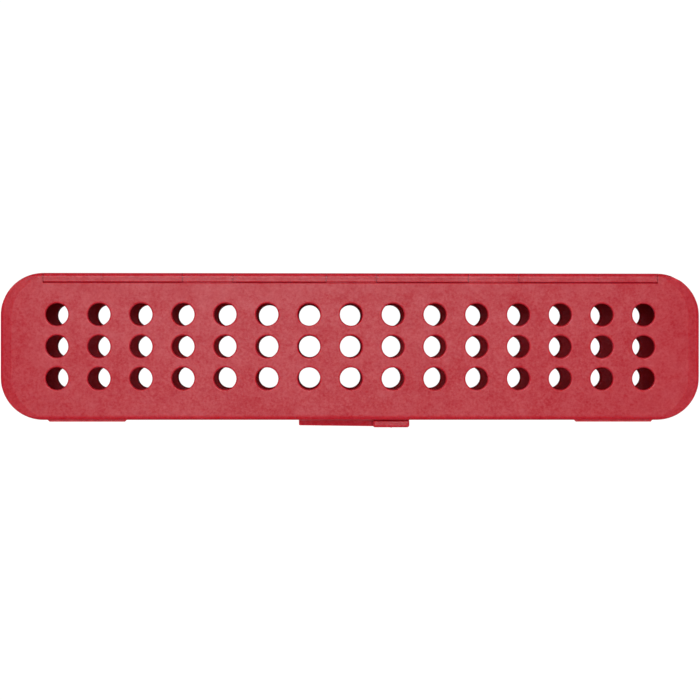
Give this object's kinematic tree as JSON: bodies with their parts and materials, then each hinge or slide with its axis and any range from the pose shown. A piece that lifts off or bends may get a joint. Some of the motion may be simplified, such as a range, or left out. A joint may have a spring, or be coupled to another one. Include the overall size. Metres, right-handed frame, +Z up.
{
  "type": "instrument steriliser case",
  "caption": "Long perforated plastic case for sterilising small instruments, with a rear-hinged flat lid on a steel rod and a sliding front latch.",
  "frame": {"origin": "centre of the tray's underside, on the plane that the closed case rests on (the protruding latch is not counted)", "axes": "+X along the case, towards the latch's thumb pad; +Y from the latch side to the hinge side; +Z up, out of the lid"},
  "size_m": [0.1816, 0.0403, 0.0222],
  "materials": {
    "red_plastic_base": "satin moulded",
    "red_plastic_lid": "satin moulded",
    "red_plastic_latch": "satin moulded",
    "steel_rod": "drawn wire"
  },
  "bodies": {
    "base": {"base_shell": "red_plastic_base", "hinge_rod": "steel_rod"},
    "lid": {"lid_shell": "red_plastic_lid"},
    "latch": {"slide_latch": "red_plastic_latch"}
  },
  "joints": [
    {"name": "lid_hinge", "type": "hinge", "parent": "base", "child": "lid", "pos_m": [0, 0.01785, 0.021], "axis": [-1, 0, 0], "range_deg": [0, 180]},
    {"name": "latch_slide", "type": "slide", "parent": "base", "child": "latch", "axis": [1, 0, 0], "range_m": [-0.006, 0]}
  ]
}
